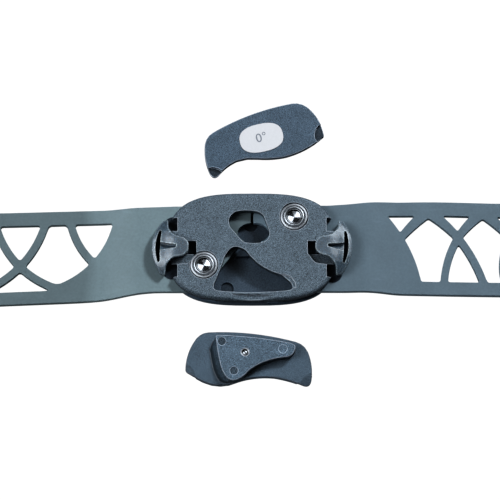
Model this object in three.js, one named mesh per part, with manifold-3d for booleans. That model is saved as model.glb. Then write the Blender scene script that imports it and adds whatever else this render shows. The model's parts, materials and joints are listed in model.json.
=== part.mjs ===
// Hinge of a knee brace with two pierced side bars and two loose motion stops.
// Millimetres. The hinge lies on its back: +X along the bars, +Z out of the hinge's face.
import * as THREE from "three";
import { mergeVertices } from "three/addons/utils/BufferGeometryUtils.js";
import Module from "manifold-3d";

const wasm = await Module();
wasm.setup();
const { Manifold, Mesh } = wasm;

// Free space between pieces that don't touch
const GAP = 0.3;

// Heights above the surface that the hinge lies on
const BACK_TOP = 2.4;
const BAR_THICK = 2.3;
const BAR_BOTTOM = BACK_TOP + GAP;
const BAR_TOP = BAR_BOTTOM + BAR_THICK;
const PLATE_BOTTOM = BAR_TOP + GAP;
const PLATE_TOP = 8.3;
const NOSE_BOTTOM = 9.1;
const LATCH_TOP = 10.5;

// Housing oval
const HOUSING = { y: 0.3, halfLength: 28.4, halfWidth: 18.9, power: 3.1, points: 72 };
const PLATE_ROUND = 1.4;
const BACK_ROUND = 0.5;

// Pivots of the bars
const PIVOT_LEFT = { x: -16.3, y: -6.2 };
const PIVOT_RIGHT = { x: 14.3, y: 10.8 };
const RIVET = { shaft: 2.6, head: 4.6, tail: 4.2, cup: 3.3, sides: 24 };
const HEAD_TOP = PLATE_TOP + 0.1;
const HEAD_BOTTOM = HEAD_TOP - 1.1;
const CUP_TOP = HEAD_TOP + 0.45;
const CUP_FLOOR = CUP_TOP - 1.3;
const SEAT_DEPTH = 1.2;
const TAIL_BOTTOM = 0.3;
const TAIL_SEAT = 1.6;
const TAIL_TOP = TAIL_SEAT - GAP;
const EASE = 0.25;
const RIVET_PROFILE = [
  { r: 0, z: TAIL_BOTTOM },
  { r: RIVET.tail, z: TAIL_BOTTOM },
  { r: RIVET.tail, z: TAIL_TOP },
  { r: RIVET.shaft, z: TAIL_TOP },
  { r: RIVET.shaft, z: HEAD_BOTTOM },
  { r: RIVET.head, z: HEAD_BOTTOM },
  { r: RIVET.head, z: HEAD_TOP - EASE },
  { r: RIVET.head - EASE, z: HEAD_TOP },
  { r: RIVET.cup + EASE, z: HEAD_TOP },
  { r: RIVET.cup, z: CUP_TOP },
  { r: RIVET.cup - 0.35, z: CUP_TOP },
  { r: RIVET.cup - 0.6, z: CUP_TOP - 0.15 },
  { r: 0, z: CUP_FLOOR },
];

// Lower wall and centre post that stand on the back plate
const WALL = { from: -11.5, to: 5.2, thick: 2.0 };
const POST = [
  { x: -5.7, y: -2.4, round: 0.4, bow: 0 },
  { x: -1.1, y: -2.4, round: 0.6, bow: 0 },
  { x: -1.1, y: 0.8, round: 0.6, bow: 0 },
  { x: -3.4, y: 0.8, round: 0.4, bow: 0 },
];

// Windows in the front plate that take the stops' wedges: corners, their rounding and the edge's bow
const UPPER_WINDOW = [
  { x: -5.7, y: 12.5, round: 2.7, bow: 0.1 },
  { x: -8.0, y: 10.2, round: 4.2, bow: 0.15 },
  { x: -7.4, y: 7.0, round: 2.6, bow: 0 },
  { x: -3.0, y: 1.8, round: 2.9, bow: 0.65 },
  { x: 6.8, y: 2.5, round: 3.9, bow: 0.1 },
  { x: 3.6, y: 12.1, round: 4.0, bow: 0.55 },
];
const LOWER_WINDOW = [
  { x: -13.8, y: -15.0, round: 1.9, bow: 0.85 },
  { x: 13.8, y: -14.9, round: 1.4, bow: 0.1 },
  { x: 13.3, y: -12.4, round: 2.2, bow: 0 },
  { x: 10.1, y: -9.6, round: 2.9, bow: -1.4 },
  { x: -2.0, y: -1.2, round: 2.7, bow: 0.35 },
  { x: -6.5, y: 0.3, round: 3.8, bow: 0.15 },
  { x: -9.2, y: -3.0, round: 3.4, bow: -0.2 },
];
// Shallow ledge round the narrow end of the lower window
const LEDGE = { x: 10.5, y: -13.9, radius: 4.3, depth: 0.5, lowest: -14.2 };
// Finger scoop in the rim below the lower window
const SCOOP = { x: 0.3, radius: 36, depth: 0.8, inner: -16.5 };

// Inner ends of the bars
const END_RADIUS = 13.9;
const END_GAP = 0.8;
const BAR_EYE = { x: 0.5, y: 5.9, halfLength: 5.4, halfWidth: 3.5, points: 36 };
const LEFT_END = [
  { x: -15.8, y: -14.8, round: 2.0, bow: 0 },
  { x: -12.2, y: -8.9, round: 2.0, bow: 0 },
  { x: -3.5, y: 2.4, round: 0.6, bow: 0 },
  { x: 5.0, y: 9.0, round: 0, bow: 0 },
  { x: 5.0, y: 15.2, round: 0, bow: 0 },
];
const RIGHT_END = [
  { x: 1.22, y: 15.5, round: 0.6, bow: 1.18 },
  { x: 2.01, y: 4.3, round: 0, bow: 0.52 },
  { x: 7.2, y: -1.15, round: 2.0, bow: 0 },
  { x: 19.2, y: -14.7, round: 3.0, bow: 0 },
];

// Upper and lower edge of each bar by its distance from the hinge's centre
const BAR_END = 140;
const BAR_TIP = 14;
const TIP_POWER = 2.6;
const DROP = { from: 38, to: 51, depth: BAR_BOTTOM - 0.1, steps: 10 };
const LEFT_EDGES = [
  { out: 26, top: 15.2, bottom: -14.8 },
  { out: 34, top: 14.9, bottom: -14.9 },
  { out: 41, top: 14.7, bottom: -15.7 },
  { out: 48, top: 14.5, bottom: -16.7 },
  { out: 55, top: 14.3, bottom: -17.5 },
  { out: 69, top: 13.9, bottom: -18.2 },
  { out: 86, top: 13.5, bottom: -18.9 },
  { out: 110, top: 13.1, bottom: -19.6 },
  { out: BAR_END - BAR_TIP, top: 12.9, bottom: -20.0 },
];
const RIGHT_EDGES = [
  { out: 26, top: 15.5, bottom: -14.7 },
  { out: 32, top: 15.9, bottom: -14.7 },
  { out: 37, top: 16.4, bottom: -14.6 },
  { out: 43.5, top: 17.0, bottom: -14.7 },
  { out: 50, top: 17.3, bottom: -15.0 },
  { out: 64, top: 17.4, bottom: -15.3 },
  { out: 84, top: 16.9, bottom: -15.6 },
  { out: 110, top: 16.5, bottom: -16.0 },
  { out: BAR_END - BAR_TIP, top: 16.2, bottom: -16.2 },
];

// Lattice: where two ribs cross, and how far each runs in and out at the rails
const RIB = 2.6;
const CELL_RAYS = 180;
const CELL_STEP = 0.2;
const CELL_TOLERANCE = 0.025;
const LEFT_LATTICE = {
  railTop: 4.7, railBottom: 4.4, round: 1.0, flare: 0,
  nodes: [
    { out: 53.4, y: -4.4, topIn: 7.4, topOut: 8.3, footIn: 12.7, footOut: 12.7 },
    { out: 78.9, y: -5.3, topIn: 8.3, topOut: 8.3, footIn: 12.7, footOut: 12.7 },
    { out: 104.4, y: -6.2, topIn: 8.3, topOut: 7.4, footIn: 12.7, footOut: 12.7 },
  ],
};
const RIGHT_LATTICE = {
  railTop: 4.8, railBottom: 4.6, round: 0.65, flare: 0.16,
  nodes: [
    { out: 50.4, y: 4.4, topIn: 5.9, topOut: 7.0, footIn: 7.0, footOut: 5.6 },
    { out: 70.2, y: 4.9, topIn: 7.3, topOut: 5.9, footIn: 4.8, footOut: 8.2 },
    { out: 88.0, y: 4.9, topIn: 6.6, topOut: 6.6, footIn: 2.0, footOut: 8.6 },
    { out: 106.5, y: 4.5, topIn: 6.8, topOut: 5.9, footIn: 3.0, footOut: 7.0 },
  ],
};

// Latches: outline from the nose outward, the slot they run in and the recesses beside it
const LATCH = [
  { x: 21.4, y: -1.7, round: 2.4, bow: 0 },
  { x: 23.3, y: -3.2, round: 2.0, bow: 0 },
  { x: 26.9, y: -4.0, round: 4.2, bow: 0 },
  { x: 28.7, y: -6.6, round: 2.2, bow: 0 },
  { x: 28.9, y: -9.8, round: 0.8, bow: 0 },
  { x: 30.8, y: -9.2, round: 0.8, bow: 3.3 },
  { x: 30.8, y: 9.2, round: 0.8, bow: 0 },
  { x: 28.9, y: 9.8, round: 0.8, bow: 0 },
  { x: 28.7, y: 6.6, round: 2.2, bow: 0 },
  { x: 26.9, y: 4.0, round: 4.2, bow: 0 },
  { x: 23.3, y: 3.2, round: 2.0, bow: 0 },
  { x: 21.4, y: 1.7, round: 2.4, bow: 0 },
];
const LATCH_TURN = -3;
const LATCH_ROUND = 0.35;
const LATCH_FOOT = BAR_TOP + 0.35;
const LATCH_REACH = 28.0;
const LATCH_ARCH = { outer: 30.4, halfWidth: 6.0 };
const NAIL_SLOT = [
  { x: 31.0, y: -5.2, round: 0.25, bow: 0 },
  { x: 31.6, y: -5.7, round: 0.25, bow: 1.1 },
  { x: 31.6, y: 5.7, round: 0.25, bow: 0 },
  { x: 31.0, y: 5.2, round: 0.25, bow: -0.2 },
];
const NAIL_SLOT_FLOOR = 7.0;
const NAIL_GROOVE = { tip: 25.8, end: 31.4, tipHalf: 0.4, endHalf: 1.4, depth: 0.9 };
const LATCH_SLOT = { inner: 18.9, halfWidth: 2.15 };
const LATCH_STEM = { inner: 21.7, outer: 28.4, halfWidth: 1.8 };
const LATCH_SHOE = { inner: 21.7, outer: 28.4, halfWidth: 3.4, bottom: 5.5, thick: 0.6 };
const SHOE_ROOM = { inner: 18.9, halfWidth: 3.75, top: 6.4 };
const NOTCH = { inner: 25.3, lug: 27.7, lugHalf: 5.7, halfWidth: 10.3 };
const POCKET = { depth: 1.4, outer: 34 };
const POCKET_EDGE = [
  { x: 18.9, y: -2.15, round: 0, bow: 0 },
  { x: 21.6, y: -5.6, round: 2.0, bow: 0 },
  { x: POCKET.outer, y: -6.6, round: 0, bow: 0 },
  { x: POCKET.outer, y: 2.15, round: 0, bow: 0 },
  { x: 18.9, y: 2.15, round: 0, bow: 0 },
];

// Stops: outlines seen on the face, plate, tip recesses and wedges
const UPPER_STOP = [
  { x: -20.5, y: -10.0, round: 2.0, bow: -1.4 },
  { x: -7.2, y: -5.3, round: 16.3, bow: 0.6 },
  { x: 5.0, y: -9.0, round: 8.7, bow: 1.0 },
  { x: 20.2, y: -5.8, round: 1.0, bow: 1.65 },
  { x: 15.8, y: 8.1, round: 7.5, bow: 1.85 },
  { x: -18.5, y: 5.8, round: 6.6, bow: 1.65 },
];
const LOWER_STOP = [
  { x: -21.3, y: -9.3, round: 2.2, bow: -0.45 },
  { x: -9.2, y: -6.1, round: 7.1, bow: -1.55 },
  { x: 8.9, y: -11.1, round: 12.7, bow: 0.3 },
  { x: 21.0, y: -5.5, round: 1.5, bow: 1.45 },
  { x: 16.3, y: 8.3, round: 6.2, bow: 1.65 },
  { x: -18.7, y: 6.0, round: 7.0, bow: 1.55 },
];
const STOP_THICK = 2.4;
const STOP_ROUND = 0.35;
const STOP_TIPS = [
  { x: -20.6, y: -9.4, radius: 4.2 },
  { x: 20.8, y: -5.5, radius: 3.9 },
];
const TIP_DEPTH = 1.2;
const WEDGE_HEIGHT = 3.5;
const UPPER_WEDGE = [
  { x: -7.0, y: -4.2, round: 1.6, bow: 0 },
  { x: 5.6, y: -5.4, round: 1.8, bow: 0 },
  { x: 6.4, y: 4.6, round: 1.8, bow: 0 },
  { x: -7.4, y: 4.6, round: 1.8, bow: 0 },
];
const LOWER_WEDGE = [
  { x: 11.4, y: 6.9, round: 1.0, bow: 0.7 },
  { x: -16.3, y: 5.0, round: 2.1, bow: 0 },
  { x: -14.9, y: 0.6, round: 3.4, bow: -3.5 },
  { x: 5.8, y: -12.9, round: 5.1, bow: 0.7 },
];
const UPPER_STOP_AT = { x: 3.7, y: 39.7, turn: 17.2 };
const LOWER_STOP_AT = { x: -1.3, y: -37.5, turn: -2.8 };
const LABEL = { x: -0.6, y: -0.3, halfLength: 7.55, halfWidth: 5.0, power: 2.5, thick: 0.25, points: 32 };
const LABEL_TURN = -4;
const INSERT = { x: 1.1, y: 1.4, radius: 1.15, sunk: 0.25, length: 2.6, sides: 16 };

// Geometry to solid and back
const solid = (geometry) => {
  const bare = geometry.clone();
  bare.deleteAttribute("normal");
  bare.deleteAttribute("uv");
  const joined = mergeVertices(bare, 1e-5);
  return new Manifold(new Mesh({
    numProp: 3,
    vertProperties: Float32Array.from(joined.attributes.position.array),
    triVerts: Uint32Array.from(joined.index.array),
  }));
};
const geometryOf = (body) => {
  const mesh = body.getMesh();
  const geometry = new THREE.BufferGeometry();
  geometry.setAttribute("position", new THREE.BufferAttribute(Float32Array.from(mesh.vertProperties), 3));
  geometry.setIndex(new THREE.BufferAttribute(Uint32Array.from(mesh.triVerts), 1));
  geometry.computeVertexNormals();
  return geometry;
};
const cut = (body, ...tools) => tools.reduce((rest, tool) => rest.subtract(tool), body);
const join = (...bodies) => bodies.reduce((all, body) => all.add(body));

// Points of a closed outline with bowed edges and rounded corners
const bezier = (a, b, c, t) => new THREE.Vector2(
  (1 - t) ** 2 * a.x + 2 * t * (1 - t) * b.x + t ** 2 * c.x,
  (1 - t) ** 2 * a.y + 2 * t * (1 - t) * b.y + t ** 2 * c.y,
);
const outline = (rows) => {
  const edges = rows.map((row, i) => {
    const next = rows[(i + 1) % rows.length];
    const a = new THREE.Vector2(row.x, row.y);
    const c = new THREE.Vector2(next.x, next.y);
    const along = c.clone().sub(a);
    const out = new THREE.Vector2(along.y, -along.x).normalize();
    const b = a.clone().add(c).multiplyScalar(0.5).addScaledVector(out, 2 * row.bow);
    return { a, b, c, length: along.length(), bow: Math.abs(row.bow) };
  });
  const trims = rows.map((row, i) => {
    const before = edges[(i + rows.length - 1) % rows.length];
    const after = edges[i];
    const inward = before.c.clone().sub(before.b).normalize();
    const outward = after.b.clone().sub(after.a).normalize();
    const turn = Math.acos(THREE.MathUtils.clamp(inward.dot(outward), -1, 1));
    const wanted = row.round * Math.tan(turn / 2);
    return { turn, length: Math.min(wanted, 0.48 * before.length, 0.48 * after.length) };
  });
  const points = [];
  edges.forEach((edge, i) => {
    const before = edges[(i + rows.length - 1) % rows.length];
    const trim = trims[i];
    const start = trim.length / edge.length;
    const end = 1 - trims[(i + 1) % rows.length].length / edge.length;
    if (trim.length > 1e-6) {
      const from = bezier(before.a, before.b, before.c, 1 - trim.length / before.length);
      const to = bezier(edge.a, edge.b, edge.c, start);
      const steps = Math.max(2, Math.ceil(trim.turn / 0.26));
      for (let k = 0; k < steps; k += 1) {
        points.push(bezier(from, edge.a, to, k / steps));
      }
    }
    const parts = edge.bow > 0 ? Math.max(3, Math.ceil(Math.sqrt(edge.bow * 60))) : 1;
    for (let k = 0; k < parts; k += 1) {
      points.push(bezier(edge.a, edge.b, edge.c, start + ((end - start) * k) / parts));
    }
  });
  return points.filter((p, i) => p.distanceTo(points[(i + 1) % points.length]) > 0.02);
};
const oval = ({ x = 0, y = 0, halfLength, halfWidth, power = 2, points }) => {
  const out = [];
  for (let i = 0; i < points; i += 1) {
    const angle = (2 * Math.PI * i) / points;
    const c = Math.cos(angle);
    const s = Math.sin(angle);
    out.push(new THREE.Vector2(
      x + halfLength * Math.sign(c) * Math.abs(c) ** (2 / power),
      y + halfWidth * Math.sign(s) * Math.abs(s) ** (2 / power),
    ));
  }
  return out;
};
const mirrored = (points) => points.map((p) => new THREE.Vector2(-p.x, p.y)).reverse();
const turned = (points, degrees, about) => points.map(
  (p) => p.clone().rotateAround(new THREE.Vector2(about.x, about.y), THREE.MathUtils.degToRad(degrees)),
);

// Upright prisms, plain or with rounded edges
const prism = (points, bottom, top, holes = []) => {
  const shape = new THREE.Shape(points);
  shape.holes = holes.map((hole) => new THREE.Path(hole));
  const geometry = new THREE.ExtrudeGeometry(shape, { depth: top - bottom, bevelEnabled: false });
  geometry.translate(0, 0, bottom);
  return solid(geometry);
};
const softPrism = (points, bottom, top, round, steps) => {
  const geometry = new THREE.ExtrudeGeometry(new THREE.Shape(points), {
    depth: top - bottom - 2 * round,
    bevelEnabled: true,
    bevelSize: round,
    bevelOffset: -round,
    bevelThickness: round,
    bevelSegments: steps,
  });
  geometry.translate(0, 0, bottom + round);
  return solid(geometry);
};
const block = (from, to) => {
  const size = new THREE.Vector3().subVectors(to, from);
  const middle = new THREE.Vector3().addVectors(from, to).multiplyScalar(0.5);
  const geometry = new THREE.BoxGeometry(size.x, size.y, size.z);
  geometry.translate(middle.x, middle.y, middle.z);
  return solid(geometry);
};
const span = (x0, x1, y0, y1, z0, z1) => block(
  new THREE.Vector3(x0, y0, z0),
  new THREE.Vector3(x1, y1, z1),
);
const drum = (at, radius, bottom, top, sides) => {
  const geometry = new THREE.CylinderGeometry(radius, radius, top - bottom, sides);
  geometry.rotateX(Math.PI / 2);
  geometry.translate(at.x, at.y, (top + bottom) / 2);
  return solid(geometry);
};
const PAST = 20;

// Bars: a sheet that drops toward its outer end, cut to the outline and pierced
const smooth = (t) => t * t * (3 - 2 * t);
const sheet = (side) => {
  const top = [];
  const bottom = [];
  const level = (x, drop) => {
    top.push(new THREE.Vector2(x, BAR_TOP - drop));
    bottom.push(new THREE.Vector2(x, BAR_BOTTOM - drop));
  };
  level(-PAST, 0);
  for (let i = 0; i <= DROP.steps; i += 1) {
    const t = i / DROP.steps;
    level(DROP.from + t * (DROP.to - DROP.from), DROP.depth * smooth(t));
  }
  level(BAR_END + PAST, DROP.depth);
  const profile = [...bottom, ...top.reverse()];
  const shape = new THREE.Shape(side > 0 ? profile : mirrored(profile));
  const geometry = new THREE.ExtrudeGeometry(shape, { depth: 4 * PAST, bevelEnabled: false });
  geometry.rotateX(Math.PI / 2);
  geometry.translate(0, 2 * PAST, 0);
  return solid(geometry);
};
const edgeCurve = (rows, key) => new THREE.SplineCurve(
  rows.map((row) => new THREE.Vector2(row.out, row[key])),
);
const heightAt = (rows, key, out) => {
  const next = Math.max(1, rows.findIndex((row) => row.out >= out));
  const a = rows[next - 1];
  const b = rows[next];
  return a[key] + ((b[key] - a[key]) * (out - a.out)) / (b.out - a.out);
};
const circleThrough = (p, q, s) => {
  const d = 2 * (p.x * (q.y - s.y) + q.x * (s.y - p.y) + s.x * (p.y - q.y));
  const [pp, qq, ss] = [p, q, s].map((v) => v.x ** 2 + v.y ** 2);
  const x = (pp * (q.y - s.y) + qq * (s.y - p.y) + ss * (p.y - q.y)) / d;
  const y = (pp * (s.x - q.x) + qq * (p.x - s.x) + ss * (q.x - p.x)) / d;
  return { x, y, r: Math.hypot(p.x - x, p.y - y) };
};
const simplified = (points, tolerance) => {
  if (points.length < 3) {
    return points;
  }
  const a = points[0];
  const b = points[points.length - 1];
  const length = a.distanceTo(b) || 1;
  let far = 0;
  let worst = 0;
  points.forEach((p, i) => {
    const off = Math.abs((b.x - a.x) * (a.y - p.y) - (a.x - p.x) * (b.y - a.y)) / length;
    if (off > worst) {
      worst = off;
      far = i;
    }
  });
  if (worst < tolerance) {
    return [a, b];
  }
  return [
    ...simplified(points.slice(0, far + 1), tolerance).slice(0, -1),
    ...simplified(points.slice(far), tolerance),
  ];
};
const latticeCells = (edges, lattice) => {
  const topRail = (out) => heightAt(edges, "top", out) - lattice.railTop;
  const bottomRail = (out) => heightAt(edges, "bottom", out) + lattice.railBottom;
  const ribsOf = (node) => [[node.topIn, -1, node.footOut], [node.topOut, 1, node.footIn]].map(
    ([top, way, foot]) => ({
      ...circleThrough(
        { x: node.out + way * top, y: topRail(node.out + way * top) },
        { x: node.out, y: node.y },
        { x: node.out - way * foot, y: bottomRail(node.out - way * foot) + RIB / 4 },
      ),
      from: node.y,
    }),
  );
  const cell = (seed, ribs, flare) => {
    const sides = ribs.map((rib) => Math.sign(Math.hypot(seed.x - rib.x, seed.y - rib.y) - rib.r));
    const level = (x, y) => {
      const walls = ribs.map((rib, i) => {
        const half = RIB / 2 + flare * Math.max(0, y - rib.from);
        return half - sides[i] * (Math.hypot(x - rib.x, y - rib.y) - rib.r);
      });
      walls.push(y - topRail(x), bottomRail(x) - y);
      return Math.hypot(...walls.map((wall) => Math.max(0, wall + lattice.round))) - lattice.round;
    };
    const points = [];
    for (let i = 0; i < CELL_RAYS; i += 1) {
      const angle = (2 * Math.PI * i) / CELL_RAYS;
      const dx = Math.cos(angle);
      const dy = Math.sin(angle);
      let near = 0;
      let far = CELL_STEP;
      while (level(seed.x + dx * far, seed.y + dy * far) < 0) {
        near = far;
        far += CELL_STEP;
      }
      for (let k = 0; k < 24; k += 1) {
        const middle = (near + far) / 2;
        if (level(seed.x + dx * middle, seed.y + dy * middle) < 0) {
          near = middle;
        } else {
          far = middle;
        }
      }
      points.push(new THREE.Vector2(seed.x + dx * near, seed.y + dy * near));
    }
    const half = CELL_RAYS / 2;
    const upper = simplified(points.slice(0, half + 1), CELL_TOLERANCE).slice(0, -1);
    const lower = simplified([...points.slice(half), points[0]], CELL_TOLERANCE).slice(0, -1);
    return [...upper, ...lower];
  };
  const cells = [];
  lattice.nodes.forEach((node, i) => {
    const next = lattice.nodes[i + 1];
    const ribs = ribsOf(node);
    cells.push(cell({ x: node.out, y: node.y + 0.68 * (topRail(node.out) - node.y) }, ribs, 0));
    if (next) {
      const middle = (node.out + next.out) / 2;
      const height = (node.y + next.y) / 2 - 1.5;
      cells.push(cell({ x: middle, y: height }, [...ribs, ...ribsOf(next)], lattice.flare));
    }
    if (next && i > 0) {
      const floor = bottomRail(node.out);
      const shift = 0.35 * (node.footOut - node.footIn);
      cells.push(cell({ x: node.out + shift, y: floor + 0.3 * (node.y - floor) }, ribs, 0));
    }
  });
  return cells;
};
const barOutline = (side, edges, end) => {
  const top = edgeCurve(edges, "top").getPoints(26);
  const bottom = edgeCurve(edges, "bottom").getPoints(26);
  const last = edges[edges.length - 1];
  const middle = (last.top + last.bottom) / 2;
  const half = (last.top - last.bottom) / 2;
  const tip = [];
  for (let i = 1; i < 20; i += 1) {
    const angle = (Math.PI * i) / 20;
    tip.push(new THREE.Vector2(
      last.out + BAR_TIP * Math.sin(angle) ** (2 / TIP_POWER),
      middle - half * Math.sign(Math.cos(angle)) * Math.abs(Math.cos(angle)) ** (2 / TIP_POWER),
    ));
  }
  const run = [...bottom, ...tip, ...top.reverse()];
  const sided = side > 0 ? run : mirrored(run);
  return outline([...sided.map((p) => ({ x: p.x, y: p.y, round: 0, bow: 0 })), ...end]);
};
const bar = (side, edges, lattice, end, pivot) => {
  const cells = latticeCells(edges, lattice).map((cell) => (side > 0 ? cell : mirrored(cell)));
  const pierced = prism(barOutline(side, edges, end), -PAST, PAST, cells).intersect(sheet(side));
  return cut(
    pierced,
    prism(oval(BAR_EYE), -PAST, PAST),
    drum(pivot, RIVET.shaft + GAP, -PAST, PAST, RIVET.sides),
  );
};
const leftBar = cut(
  bar(-1, LEFT_EDGES, LEFT_LATTICE, LEFT_END, PIVOT_LEFT),
  drum(PIVOT_RIGHT, END_RADIUS + END_GAP, -PAST, PAST, 160),
);
const rightBar = bar(1, RIGHT_EDGES, RIGHT_LATTICE, RIGHT_END, PIVOT_RIGHT);

// Back plate with its lower wall and centre post
const housing = oval(HOUSING);
const backPlate = () => {
  const plate = softPrism(housing, 0, BACK_TOP, BACK_ROUND, 1);
  const inside = housing.map((p) => p.clone().multiplyScalar(1 - WALL.thick / HOUSING.halfWidth));
  const ring = prism(housing, BACK_TOP - BACK_ROUND - 0.2, BAR_TOP, [inside]);
  const wall = ring.intersect(span(WALL.from, WALL.to, -2 * PAST, 0, 0, PAST));
  const post = prism(outline(POST), BACK_TOP - 0.5, BAR_TOP);
  const seats = [PIVOT_LEFT, PIVOT_RIGHT].map((pivot) => join(
    drum(pivot, RIVET.shaft + GAP, -1, PAST, RIVET.sides),
    drum(pivot, RIVET.tail + GAP, -1, TAIL_SEAT, RIVET.sides),
  ));
  return cut(join(plate, wall, post), ...seats);
};

// Front plate with windows, rivet seats, latch slots and the finger scoop
const frontPlate = () => {
  const raw = softPrism(housing, PLATE_BOTTOM - PLATE_ROUND, PLATE_TOP, PLATE_ROUND, 3);
  const plate = raw.intersect(span(-2 * PAST, 2 * PAST, -2 * PAST, 2 * PAST, PLATE_BOTTOM, PAST));
  const seats = [PIVOT_LEFT, PIVOT_RIGHT].map((pivot) => join(
    drum(pivot, RIVET.shaft + GAP, 0, PAST, RIVET.sides),
    drum(pivot, RIVET.head + GAP, PLATE_TOP - SEAT_DEPTH, PAST, RIVET.sides),
  ));
  const pocket = outline(POCKET_EDGE);
  const slots = [-1, 1].map((side) => {
    const along = (inner, halfWidth, z0, z1) => (side > 0
      ? span(inner, 2 * PAST, -halfWidth, halfWidth, z0, z1)
      : span(-2 * PAST, -inner, -halfWidth, halfWidth, z0, z1));
    return join(
      along(LATCH_SLOT.inner, LATCH_SLOT.halfWidth, 0, PAST),
      along(NOTCH.lug, NOTCH.halfWidth, 0, PAST),
      cut(along(NOTCH.inner, NOTCH.halfWidth, 0, PAST), along(NOTCH.inner - 1, NOTCH.lugHalf, -1, 2 * PAST)),
      along(SHOE_ROOM.inner, SHOE_ROOM.halfWidth, 0, SHOE_ROOM.top),
      prism(side > 0 ? pocket : mirrored(pocket), PLATE_TOP - POCKET.depth, PAST),
    );
  });
  const ledge = drum(LEDGE, LEDGE.radius, PLATE_TOP - LEDGE.depth, PAST, 36).intersect(
    span(0, 2 * PAST, LEDGE.lowest, 0, 0, 2 * PAST),
  );
  const roller = new THREE.CylinderGeometry(SCOOP.radius, SCOOP.radius, PAST, 200);
  roller.translate(SCOOP.x, SCOOP.inner - PAST / 2, PLATE_TOP - SCOOP.depth + SCOOP.radius);
  return cut(
    plate,
    prism(outline(UPPER_WINDOW), 0, PAST),
    prism(outline(LOWER_WINDOW), 0, PAST),
    ledge,
    solid(roller),
    ...seats,
    ...slots,
  );
};

// Rivet: turned in one piece, with a cup in its head
const rivet = (pivot) => {
  const profile = RIVET_PROFILE.map((row) => new THREE.Vector2(row.r, row.z));
  const geometry = new THREE.LatheGeometry(profile, RIVET.sides);
  geometry.rotateX(Math.PI / 2);
  geometry.translate(pivot.x, pivot.y, 0);
  return solid(geometry);
};

// Latch: anchor-shaped top on a stem that runs in the plate's slot
const latch = (side) => {
  const sided = (points) => (side > 0 ? points : points.map((p) => new THREE.Vector2(-p.x, -p.y)));
  const about = { x: side * LATCH_STEM.outer, y: 0 };
  const shaped = (rows) => turned(sided(outline(rows)), LATCH_TURN, about);
  const along = (part, z0, z1) => (side > 0
    ? span(part.inner, part.outer, -part.halfWidth, part.halfWidth, z0, z1)
    : span(-part.outer, -part.inner, -part.halfWidth, part.halfWidth, z0, z1));
  const top = softPrism(shaped(LATCH), LATCH_FOOT, LATCH_TOP, LATCH_ROUND, 2);
  const below = (outer, halfWidth) => along({ inner: 0, outer, halfWidth }, 0, NOSE_BOTTOM);
  const under = join(below(LATCH_REACH, PAST), below(LATCH_ARCH.outer, LATCH_ARCH.halfWidth));
  const groove = [
    new THREE.Vector2(NAIL_GROOVE.tip, NAIL_GROOVE.tipHalf),
    new THREE.Vector2(NAIL_GROOVE.tip, -NAIL_GROOVE.tipHalf),
    new THREE.Vector2(NAIL_GROOVE.end, -NAIL_GROOVE.endHalf),
    new THREE.Vector2(NAIL_GROOVE.end, NAIL_GROOVE.endHalf),
  ];
  return join(
    cut(
      top,
      under,
      prism(shaped(NAIL_SLOT), NAIL_SLOT_FLOOR, PAST),
      prism(turned(sided(groove), LATCH_TURN, about), LATCH_TOP - NAIL_GROOVE.depth, PAST),
    ),
    along(LATCH_STEM, LATCH_SHOE.bottom, NOSE_BOTTOM + 0.2),
    along(LATCH_SHOE, LATCH_SHOE.bottom, LATCH_SHOE.bottom + LATCH_SHOE.thick),
  );
};

// Stops: a plate with a wedge on its back, laid face up or face down
const placed = (body, at, lift, flipped) => {
  const laid = flipped ? body.rotate([0, 180, 0]) : body;
  return laid.rotate([0, 0, at.turn]).translate([at.x, at.y, lift]);
};
const stop = (face, wedge) => {
  const plate = softPrism(outline(face), 0, STOP_THICK, STOP_ROUND, 2);
  const tips = STOP_TIPS.map((tip) => drum(tip, tip.radius, STOP_THICK - TIP_DEPTH, PAST, 24));
  const foot = softPrism(outline(wedge), -WEDGE_HEIGHT, STOP_ROUND + 0.3, 0.3, 2);
  return join(cut(plate, ...tips), foot);
};
const insertAt = { x: INSERT.x, y: INSERT.y };
const insertTop = -WEDGE_HEIGHT + INSERT.sunk;
const upperStop = placed(stop(UPPER_STOP, UPPER_WEDGE), UPPER_STOP_AT, WEDGE_HEIGHT, false);
const lowerStop = placed(
  cut(
    stop(LOWER_STOP, LOWER_WEDGE),
    drum(insertAt, INSERT.radius + GAP, -PAST, insertTop + INSERT.length + GAP, INSERT.sides),
  ),
  LOWER_STOP_AT, STOP_THICK, true,
);
const stopInsert = placed(
  drum(insertAt, INSERT.radius, insertTop, insertTop + INSERT.length, INSERT.sides),
  LOWER_STOP_AT, STOP_THICK, true,
);
const stopLabel = placed(
  prism(turned(oval(LABEL), LABEL_TURN, LABEL), STOP_THICK, STOP_THICK + LABEL.thick),
  UPPER_STOP_AT, WEDGE_HEIGHT, false,
);

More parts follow.
